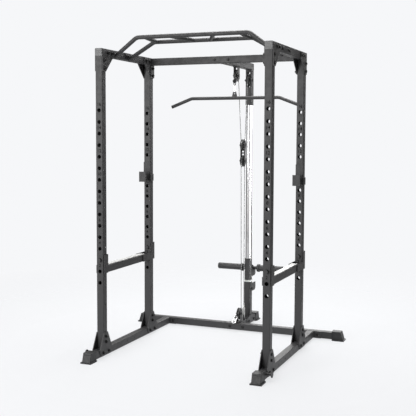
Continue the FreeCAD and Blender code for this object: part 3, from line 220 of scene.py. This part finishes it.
def black_oxide():
    """Black oxide of the bolts, worn slightly brown and lighter in spots."""
    s = Shader("black_oxide").set(Metallic=0.6)
    wear = s.noise(220.0, 4.0, 0.6)
    s.colour(s.ramp(wear, [(0.4, (0.010, 0.010, 0.011)), (0.62, (0.022, 0.021, 0.020)),
                           (0.78, (0.075, 0.070, 0.066))]))
    s.roughness(s.ramp(wear, [(0.35, 0.52), (0.75, 0.32)]))
    return s.bump(s.noise(500.0, 2.0), 0.0001, 0.5).material


def rubber():
    """Dull black rubber with grey bloom."""
    s = Shader("black_rubber").set(Specular_IOR_Level=0.3)
    s.colour(s.ramp(s.noise(45.0, 5.0, 0.6), [(0.3, (0.014, 0.014, 0.015)), (0.75, (0.034, 0.034, 0.035))]))
    s.roughness(s.ramp(s.noise(70.0, 3.0), [(0.3, 0.62), (0.7, 0.8)]))
    return s.bump(s.noise(1100.0, 2.0), 0.0002, 0.5).material


def pale_liner():
    """White wear-strip plastic, scuffed grey where bars have rubbed along it."""
    s = Shader("white_wear_strip").set(Specular_IOR_Level=0.4)
    scuff = s.noise(25.0, 5.0, 0.65, s.scaled((1.0, 9.0, 1.0)))
    s.colour(s.ramp(scuff, [(0.3, (0.46, 0.46, 0.45)), (0.55, (0.74, 0.74, 0.73)),
                            (0.8, (0.80, 0.80, 0.79))]))
    s.roughness(s.ramp(scuff, [(0.3, 0.62), (0.7, 0.42)]))
    return s.bump(s.noise(600.0, 2.0), 0.0001, 0.4).material


def nylon_bumper():
    """Natural nylon, slightly yellow and waxy."""
    s = Shader("natural_nylon").set(Specular_IOR_Level=0.45, Subsurface_Weight=0.1)
    s.colour(s.ramp(s.noise(30.0, 3.0), [(0.3, (0.68, 0.67, 0.63)), (0.7, (0.80, 0.79, 0.76))]))
    s.roughness(s.ramp(s.noise(80.0, 3.0), [(0.3, 0.38), (0.7, 0.5)]))
    return s.bump(s.noise(400.0, 2.0), 0.0001, 0.4).material


def cable_sheath():
    """Steel rope seen through a clear nylon sheath: grey, with the strands' darker lay."""
    s = Shader("sheathed_steel_rope").set(Coat_Weight=0.5, Coat_Roughness=0.15, Metallic=0.25)
    lay = s.noise(900.0, 2.0)
    s.colour(s.ramp(lay, [(0.35, (0.13, 0.13, 0.13)), (0.65, (0.26, 0.26, 0.26))]))
    s.roughness(s.ramp(lay, [(0.3, 0.3), (0.7, 0.45)]))
    return s.bump(lay, 0.00015, 0.5).material


def weld_bead():
    """Painted weld metal: the same charcoal, a little shinier and coarser than the tubes."""
    s = Shader("painted_weld").set(Specular_IOR_Level=0.5)
    s.colour(s.ramp(s.noise(150.0, 3.0), [(0.35, (0.036, 0.036, 0.038)), (0.7, (0.066, 0.065, 0.066))]))
    s.roughness(s.ramp(s.noise(90.0, 3.0), [(0.3, 0.38), (0.7, 0.52)]))
    return s.bump(s.noise(500.0, 3.0), 0.0003, 0.6).material


def dark_print():
    """Black printed numbers, a little thin and uneven."""
    s = Shader("black_print").set(Specular_IOR_Level=0.05)
    s.colour(s.ramp(s.noise(700.0, 3.0), [(0.3, (0.004, 0.004, 0.004)), (0.6, (0.010, 0.010, 0.010))]))
    s.roughness(s.ramp(s.noise(120.0, 2.0), [(0.3, 0.75), (0.7, 0.9)]))
    return s.bump(s.noise(900.0, 2.0), 0.0001, 0.3).material


COAT = powder_coat()
PLASTIC = moulded_plastic()
CAP = cap_plastic()
PULLEY = pulley_plastic()
CHROME = polished_steel()
STEEL = machined_steel()
OXIDE = black_oxide()
RUBBER = rubber()
LINER = pale_liner()
NYLON = nylon_bumper()
CABLE = cable_sheath()
WELD = weld_bead()
PRINT = dark_print()

SPECIAL = {
    "foot_caps": PLASTIC, "tube_end_caps": CAP, "jhook_liner_left": PLASTIC,
    "jhook_liner_right": PLASTIC, "front_pulley": PULLEY, "post_pulley": PULLEY,
    "low_pulley": PULLEY, "block_upper_pulley": PULLEY, "block_lower_pulley": PULLEY,
    "guide_tube": CHROME, "lat_hook": CHROME, "lat_hook_gate": CHROME, "row_hook": CHROME,
    "row_hook_gate": CHROME, "row_cable_anchor": STEEL, "carriage_cable_stud": STEEL,
    "corner_bolts": OXIDE, "joint_bolts": OXIDE, "tower_bolts": OXIDE, "lat_ball_stop": RUBBER,
    "row_ball_stop": RUBBER, "safety_liner_left": LINER, "safety_liner_right": LINER,
    "carriage_bumper": NYLON, "carriage_bushes": NYLON,
}


def dress(obj, material):
    """Give an object one material in every slot."""
    if not obj.material_slots:
        obj.data.materials.append(material)
    for each in obj.material_slots:
        each.material = material


for name, obj in nodes.items():
    dress(obj, SPECIAL.get(name, COAT))


# ---------------------------------------------------------------- mesh helpers
def mesh_object(name, verts, faces, material, body, smooth=True):
    """A finished piece from its points and faces, riding on a body."""
    mesh = bpy.data.meshes.new(name)
    mesh.from_pydata([tuple(v) for v in verts], [], faces)
    mesh.validate()
    work = bmesh.new()
    work.from_mesh(mesh)
    bmesh.ops.recalc_face_normals(work, faces=work.faces)
    work.to_mesh(mesh)
    work.free()
    if smooth:
        mesh.shade_smooth()
    obj = bpy.data.objects.new(name, mesh)
    scene.collection.objects.link(obj)
    dress(obj, material)
    if body:
        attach(obj, body)
    return obj


def frames_along(points):
    """A point, a tangent and two cross directions at each point of a line in space."""
    result = []
    side = None
    for i, here in enumerate(points):
        ahead = points[min(i + 1, len(points) - 1)] - points[max(i - 1, 0)]
        ahead.normalize()
        if side is None:
            side = Vector((1, 0, 0)) if abs(ahead.x) < 0.9 else Vector((0, 0, 1))
        side = (side - ahead * side.dot(ahead)).normalized()
        result.append((here, ahead, side, ahead.cross(side)))
    return result


def tube(points, radius_at, around=16):
    """Points and faces of a closed tube along a line; radius_at(i, angle, length) gives its radius."""
    verts = []
    faces = []
    run = 0.0
    last = points[0]
    for i, (here, ahead, side, up) in enumerate(frames_along(points)):
        run += (here - last).length
        last = here
        for j in range(around):
            angle = 2 * math.pi * j / around
            r = radius_at(i, angle, run)
            verts.append(here + side * (r * math.cos(angle)) + up * (r * math.sin(angle)))
    count = len(points)
    for i in range(count - 1):
        for j in range(around):
            k = (j + 1) % around
            faces.append((i * around + j, i * around + k, (i + 1) * around + k, (i + 1) * around + j))
    faces.append(tuple(range(around)))
    faces.append(tuple((count - 1) * around + j for j in range(around)))
    return verts, faces


def joined(parts):
    """Several (points, faces) pairs as one pair."""
    verts = []
    faces = []
    for more_verts, more_faces in parts:
        base = len(verts)
        verts.extend(more_verts)
        faces.extend(tuple(base + i for i in face) for face in more_faces)
    return verts, faces


# ---------------------------------------------------------------- cables
STRANDS = 6
LAY_LENGTH = 0.024
STRAND_RELIEF = 0.00016
RING_STEP = 0.003
ROPE_AROUND = 24


def line(start, end):
    """Evenly spaced points on a straight run."""
    count = max(2, int((end - start).length / RING_STEP))
    return [start.lerp(end, i / count) for i in range(count + 1)]


def arc(centre, radius, from_angle, to_angle):
    """Evenly spaced points on an arc in the Y-Z plane, with angles in radians from +Y."""
    count = max(4, int(abs(to_angle - from_angle) * radius / RING_STEP))
    points = []
    for i in range(count + 1):
        angle = from_angle + (to_angle - from_angle) * i / count
        points.append(centre + Vector((0, math.cos(angle), math.sin(angle))) * radius)
    return points


def rope(points):
    """A sheathed rope whose strands show as a faint twist."""
    def radius_at(_, angle, run):
        twist = STRANDS * (angle + 2 * math.pi * run / LAY_LENGTH)
        return CABLE_R - STRAND_RELIEF * (0.5 + 0.5 * math.cos(twist))
    return tube(points, radius_at, ROPE_AROUND)


def tangent(centre_a, radius_a, side_a, centre_b, radius_b, side_b):
    """Where a taut run leaves wheel a and meets wheel b; a side is +1 behind a wheel's centre."""
    across = centre_b - centre_a
    heading = math.atan2(across.z, across.y)
    sign = -1 if across.z > 0 else 1
    lean = math.acos((side_a * radius_a - side_b * radius_b) / across.length)
    normal = Vector((0, math.cos(heading + sign * lean), math.sin(heading + sign * lean)))
    return centre_a + normal * (side_a * radius_a), centre_b + normal * (side_b * radius_b)


def angle_on(centre, point):
    """The angle of a point about a centre, from +Y towards +Z."""
    return math.atan2(point.z - centre.z, point.y - centre.y)


def cable_pieces():
    """Every run and wrap of both cables, in place of the CAD's plain rods."""
    front = middle("front_pulley")
    post = middle("post_pulley")
    upper = middle("block_upper_pulley")
    lower = middle("block_lower_pulley")
    low = middle("low_pulley")
    drop_low = Vector((0, front.y - GROOVE_R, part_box("lat_cable_drop")[0][2]))
    drop_top = Vector((0, front.y - GROOVE_R, front.z))
    stud = Vector((0, 0, 0))
    stud.y = middle("carriage_cable_stud").y
    stud.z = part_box("carriage_cable_stud")[1][2]
    anchor = Vector((0, middle("row_cable_anchor").y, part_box("row_cable_anchor")[1][2]))
    a, b = tangent(front, GROOVE_R, 1, upper, GROOVE_R, -1)
    c, d = tangent(upper, GROOVE_R, 1, post, POST_GROOVE_R, -1)
    e, f = tangent(post, POST_GROOVE_R, 1, stud, 0, 1)
    g, h = tangent(low, GROOVE_R, 1, lower, GROOVE_R, -1)
    i, j = tangent(lower, GROOVE_R, 1, anchor, 0, 1)
    lift = math.radians(ROW_LIFT)
    row_exit = low + Vector((0, -math.sin(lift), -math.cos(lift))) * GROOVE_R
    row_end = row_exit + Vector((0, -math.cos(lift), math.sin(lift))) * ROW_TAIL

    def run(name, start, end, moving):
        verts, faces = rope(line(start, end))
        piece = mesh_object(name, verts, faces, CABLE, None)
        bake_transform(piece)
        return piece

    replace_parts(run("lat_cable_fall", drop_top, drop_low, "lat_stop"), "lat_cable_drop")
    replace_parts(run("carriage_cable_fall", e, f, "carriage"), "carriage_cable_drop")
    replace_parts(run("row_cable_tail", row_exit, row_end, "row_stop"), "row_cable_end")
    spans = [run("span_front_to_block", a, b, "block"), run("span_post_to_block", d, c, "block"),
             run("span_low_to_block", g, h, "block"), run("span_anchor_to_block", j, i, "block")]
    for span in spans:
        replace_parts(span, "block_cable_runs")
    fixed = [rope(arc(front, GROOVE_R, math.pi, angle_on(front, a))),
             rope(arc(post, POST_GROOVE_R, angle_on(post, d), angle_on(post, e))),
             rope(arc(low, GROOVE_R, angle_on(low, row_exit), angle_on(low, g)))]
    verts, faces = joined(fixed)
    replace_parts(mesh_object("cable_wraps_on_frame", verts, faces, CABLE, "frame"),
                "fixed_cable_wraps")
    hung = [rope(arc(upper, GROOVE_R, angle_on(upper, b) - 2 * math.pi
                     if angle_on(upper, b) > 0 else angle_on(upper, b), angle_on(upper, c))),
            rope(arc(lower, GROOVE_R, angle_on(lower, h), angle_on(lower, i)))]
    verts, faces = joined(hung)
    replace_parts(mesh_object("cable_wraps_on_block", verts, faces, CABLE, "block"),
                "block_cable_wraps")


cable_pieces()


# ---------------------------------------------------------------- weld beads
BEAD_R = 2.0 * MM
BEAD_RIPPLE = 0.22
RIPPLE_LENGTH = 3.2 * MM
BEAD_STEP = 0.8 * MM
BEAD_INSET = 3 * MM
BEAD_AROUND = 8
RING_POINTS = 90


def bead(points):
    """A weld bead along a line, rippled where each pool froze."""
    def radius_at(_, angle, run):
        return BEAD_R * (1 - BEAD_RIPPLE * abs(math.sin(math.pi * run / RIPPLE_LENGTH)))
    return tube(points, radius_at, BEAD_AROUND)


def bead_round(centre, axis):
    """Four beads round a square tube where it meets a plate across the Y or Z axis."""
    first = Vector((1, 0, 0))
    second = Vector((0, 1, 0)) if axis == "Z" else Vector((0, 0, 1))
    reach = TUBE / 2
    short = reach - BEAD_INSET
    runs = []
    for along, across in ((first, second), (second, first)):
        for sign in (-1, 1):
            offset = centre + across * (reach * sign)
            count = int(TUBE / BEAD_STEP)
            start, end = offset - along * short, offset + along * short
            runs.append(bead([start.lerp(end, i / count) for i in range(count + 1)]))
    return runs


def bead_ring(centre, radius, stretch):
    """A bead round a slanting tube's end on a plate across X."""
    points = []
    for i in range(RING_POINTS + 1):
        angle = 2 * math.pi * i / RING_POINTS
        points.append(centre + Vector((0, radius * math.cos(angle), radius * stretch * math.sin(angle))))
    return bead(points)


def welds():
    """Beads on the welded joints that show: flanges, posts and the pull-up tubes' plates."""
    parts = []
    half = TUBE / 2
    post = middle("upper_post")
    arm_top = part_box("tower_arm")[1][2]
    parts += bead_round(Vector((0, post.y, arm_top - TUBE)), "Z")
    base_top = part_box("rear_base_crossmember")[1][2]
    parts += bead_round(Vector((0, post.y, base_top)), "Z")
    for name, z in (("tower_arm", arm_top - half), ("tower_base_tube", base_top - half)):
        parts += bead_round(Vector((0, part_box(name)[0][1] + PLATE, z)), "Y")
    for name in ("base_side_tube_left", "base_side_tube_right"):
        x = middle("upright_front_" + name.rsplit("_", 1)[1]).x
        parts += bead_round(Vector((x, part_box(name)[1][1] - PLATE, base_top - half)), "Y")
    front_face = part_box("upright_front_left")[0][1]
    for name, (back, foot, slope) in PULLUP_ENDS.items():
        low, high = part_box(name)
        for sign, edge in ((-1, low[0]), (1, high[0])):
            centre = Vector((edge - sign * PLATE, front_face + back, foot))
            parts.append(bead_ring(centre, PULLUP_TUBE_R, 1 / math.cos(slope)))
    verts, faces = joined(parts)
    mesh_object("weld_beads", verts, faces, WELD, "frame")


welds()


# ---------------------------------------------------------------- numbers on the uprights
NUMBER_HEIGHT = 0.030
NUMBER_BOLD = 0.0004
NUMBER_THICK = 0.00008
NUMBER_PROUD = 0.0001
HOLE_COUNT = 16


def number_pieces():
    """Even hole numbers, printed between holes on the front face of each upright."""
    for name in ("upright_front_left", "upright_front_right", "upright_rear_left", "upright_rear_right"):
        low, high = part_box(name)
        centre_x = (low[0] + high[0]) / 2
        parts = []
        for number in range(2, HOLE_COUNT + 1, 2):
            curve = bpy.data.curves.new("digits", "FONT")
            curve.body = str(number)
            curve.size = NUMBER_HEIGHT
            curve.offset = NUMBER_BOLD
            curve.extrude = NUMBER_THICK
            curve.align_x = "CENTER"
            curve.align_y = "CENTER"
            text = bpy.data.objects.new("digits", curve)
            scene.collection.objects.link(text)
            bpy.context.view_layer.update()
            flat = bpy.data.meshes.new_from_object(text)
            height = HOLE_FIRST + (number - 0.5) * HOLE_PITCH
            place = Matrix.Translation((centre_x, low[1] - NUMBER_PROUD, height))
            flat.transform(place @ Matrix.Rotation(math.pi / 2, 4, "X"))
            parts.append(([v.co.copy() for v in flat.vertices],
                          [tuple(p.vertices) for p in flat.polygons]))
            bpy.data.objects.remove(text)
            bpy.data.curves.remove(curve)
        verts, faces = joined(parts)
        mesh_object("numbers_" + name, verts, faces, PRINT, "frame", smooth=False)


number_pieces()


# ---------------------------------------------------------------- floor, light and camera
BACKDROP = (0.922, 0.930, 0.947, 1.0)
ROOM_COLOUR = (1.0, 0.99, 0.97, 1.0)
ROOM_LIGHT = 0.24
ROOM_REFLECTION = 0.80
# a shade is a side, where it starts and ends on the way to that side, and how much light is left
ROOM_SHADES = [((1.0, 0.0, 0.0), -0.1, 0.7, 0.12)]
REFLECTION_SHADES = [((-0.899, 0.437, 0.0), 0.72, 0.80, 0.08), ((0.376, 0.927, 0.0), 0.55, 0.95, 0.30)]
FLOOR_COLOUR = (0.80, 0.81, 0.83, 1.0)
FLOOR_GLOW = 0.72
FLOOR_REACH = 9.0
FLOOR_FADE = 5.0
SENSOR = 36.0
LENS = 69.545
CAMERA_SHIFT = (-0.01194, -0.02376)
CAMERA_PLACE = (2.10334, -5.28270, 1.46960)
CAMERA_YAW = math.radians(22.0742)
CAMERA_PITCH = math.radians(-4.2972)
CAMERA_ROLL = math.radians(0.24627)


def over(tree, ray, seen_by, below, above):
    """One backdrop shader over another, for one kind of ray only."""
    choice = tree.nodes.new("ShaderNodeMixShader")
    tree.links.new(ray.outputs[seen_by], choice.inputs["Fac"])
    tree.links.new(below, choice.inputs[1])
    tree.links.new(above, choice.inputs[2])
    return choice.outputs["Shader"]


def studio():
    """A pale seamless floor, soft lights from above and the left, and the camera."""
    world = bpy.data.worlds.new("studio")
    scene.world = world
    world.use_nodes = True
    tree = world.node_tree
    backdrop = tree.nodes["Background"]
    backdrop.inputs["Color"].default_value = BACKDROP
    ray = tree.nodes.new("ShaderNodeLightPath")
    shown = tree.nodes["World Output"].inputs["Surface"]
    place = tree.nodes.new("ShaderNodeTexCoord")

    def room(bright, shades):
        """A glow that is dimmed towards the sides that its shades name."""
        glow = tree.nodes.new("ShaderNodeBackground")
        glow.inputs["Color"].default_value = ROOM_COLOUR
        strength = tree.nodes.new("ShaderNodeValue").outputs["Value"]
        strength.default_value = bright
        for dark_side, start, end, left in shades:
            toward = tree.nodes.new("ShaderNodeVectorMath")
            toward.operation = "DOT_PRODUCT"
            toward.inputs[1].default_value = dark_side
            tree.links.new(place.outputs["Generated"], toward.inputs[0])
            fall = tree.nodes.new("ShaderNodeMapRange")
            fall.inputs["To Min"].default_value = 1.0
            for socket, value in zip(("From Min", "From Max", "To Max"), (start, end, left)):
                fall.inputs[socket].default_value = value
            tree.links.new(toward.outputs["Value"], fall.inputs["Value"])
            dimmed = tree.nodes.new("ShaderNodeMath")
            dimmed.operation = "MULTIPLY"
            tree.links.new(strength, dimmed.inputs[0])
            tree.links.new(fall.outputs["Result"], dimmed.inputs[1])
            strength = dimmed.outputs["Value"]
        tree.links.new(strength, glow.inputs["Strength"])
        return glow.outputs["Background"]

    layer = room(ROOM_LIGHT, ROOM_SHADES)
    layer = over(tree, ray, "Is Glossy Ray", layer, room(ROOM_REFLECTION, REFLECTION_SHADES))
    layer = over(tree, ray, "Is Camera Ray", layer, backdrop.outputs["Background"])
    tree.links.new(layer, shown)

    reach = FLOOR_REACH
    mesh = bpy.data.meshes.new("floor")
    mesh.from_pydata([(-reach, -reach, 0), (reach, -reach, 0), (reach, reach, 0), (-reach, reach, 0)],
                     [], [(0, 1, 2, 3)])
    floor = bpy.data.objects.new("floor", mesh)
    scene.collection.objects.link(floor)
    s = Shader("pale_floor").set(Roughness=0.9, Specular_IOR_Level=0.1)
    s.surface.inputs["Base Color"].default_value = FLOOR_COLOUR
    glow = s.tree.nodes.new("ShaderNodeEmission")
    glow.inputs["Color"].default_value = BACKDROP
    clear = s.tree.nodes.new("ShaderNodeBsdfTransparent")
    soft = s.tree.nodes.new("ShaderNodeMixShader")
    soft.inputs["Fac"].default_value = FLOOR_GLOW
    s.link(s.surface.outputs["BSDF"], soft.inputs[1])
    s.link(glow.outputs["Emission"], soft.inputs[2])
    away = s.tree.nodes.new("ShaderNodeVectorMath")
    away.operation = "LENGTH"
    s.link(s.place, away.inputs[0])
    fade = s.ramp(s.math("DIVIDE", away.outputs["Value"], FLOOR_FADE), [(0.30, 0.0), (0.75, 1.0)])
    edge = s.tree.nodes.new("ShaderNodeMixShader")
    s.link(fade, edge.inputs["Fac"])
    s.link(soft.outputs["Shader"], edge.inputs[1])
    s.link(clear.outputs["BSDF"], edge.inputs[2])
    s.link(edge.outputs["Shader"], s.tree.nodes["Material Output"].inputs["Surface"])
    dress(floor, s.material)

    def lamp(name, place, target, width, power, height=None, spread=180.0):
        light = bpy.data.lights.new(name, "AREA")
        light.shape = "RECTANGLE"
        light.size = width
        light.size_y = height or width
        light.spread = math.radians(spread)
        light.energy = power
        obj = bpy.data.objects.new(name, light)
        aim = (Vector(target) - Vector(place)).to_track_quat("-Z", "Y")
        obj.matrix_world = Matrix.Translation(place) @ aim.to_matrix().to_4x4()
        scene.collection.objects.link(obj)

    lamp("overhead", (0.0, 0.6, 4.6), (0.0, 0.0, 0.0), 3.0, 210)
    lamp("front_left", (-2.2, -5.5, 2.2), (0.0, 0.0, 1.0), 2.5, 185)
    lamp("behind", (-0.5, 5.5, 3.2), (0.0, 0.0, 0.8), 3.5, 160)
    lamp("tower_side", (2.3, 0.50, 1.2), (0.0, 0.50, 1.2), 0.5, 4, height=2.2, spread=20.0)

    camera_data = bpy.data.cameras.new("camera")
    camera_data.sensor_width = SENSOR
    camera_data.lens = LENS
    camera_data.shift_x, camera_data.shift_y = CAMERA_SHIFT
    camera = bpy.data.objects.new("camera", camera_data)
    scene.collection.objects.link(camera)
    level = math.cos(CAMERA_PITCH)
    forward = Vector((-math.sin(CAMERA_YAW) * level, math.cos(CAMERA_YAW) * level,
                      math.sin(CAMERA_PITCH)))
    right = Vector((math.cos(CAMERA_YAW), math.sin(CAMERA_YAW), 0))
    up = right.cross(forward)
    tilted_right = right * math.cos(CAMERA_ROLL) + up * math.sin(CAMERA_ROLL)
    tilted_up = up * math.cos(CAMERA_ROLL) - right * math.sin(CAMERA_ROLL)
    turn = Matrix((tilted_right, tilted_up, -forward)).transposed().to_4x4()
    camera.matrix_world = Matrix.Translation(CAMERA_PLACE) @ turn
    scene.camera = camera
    scene.view_settings.view_transform = "Standard"


studio()
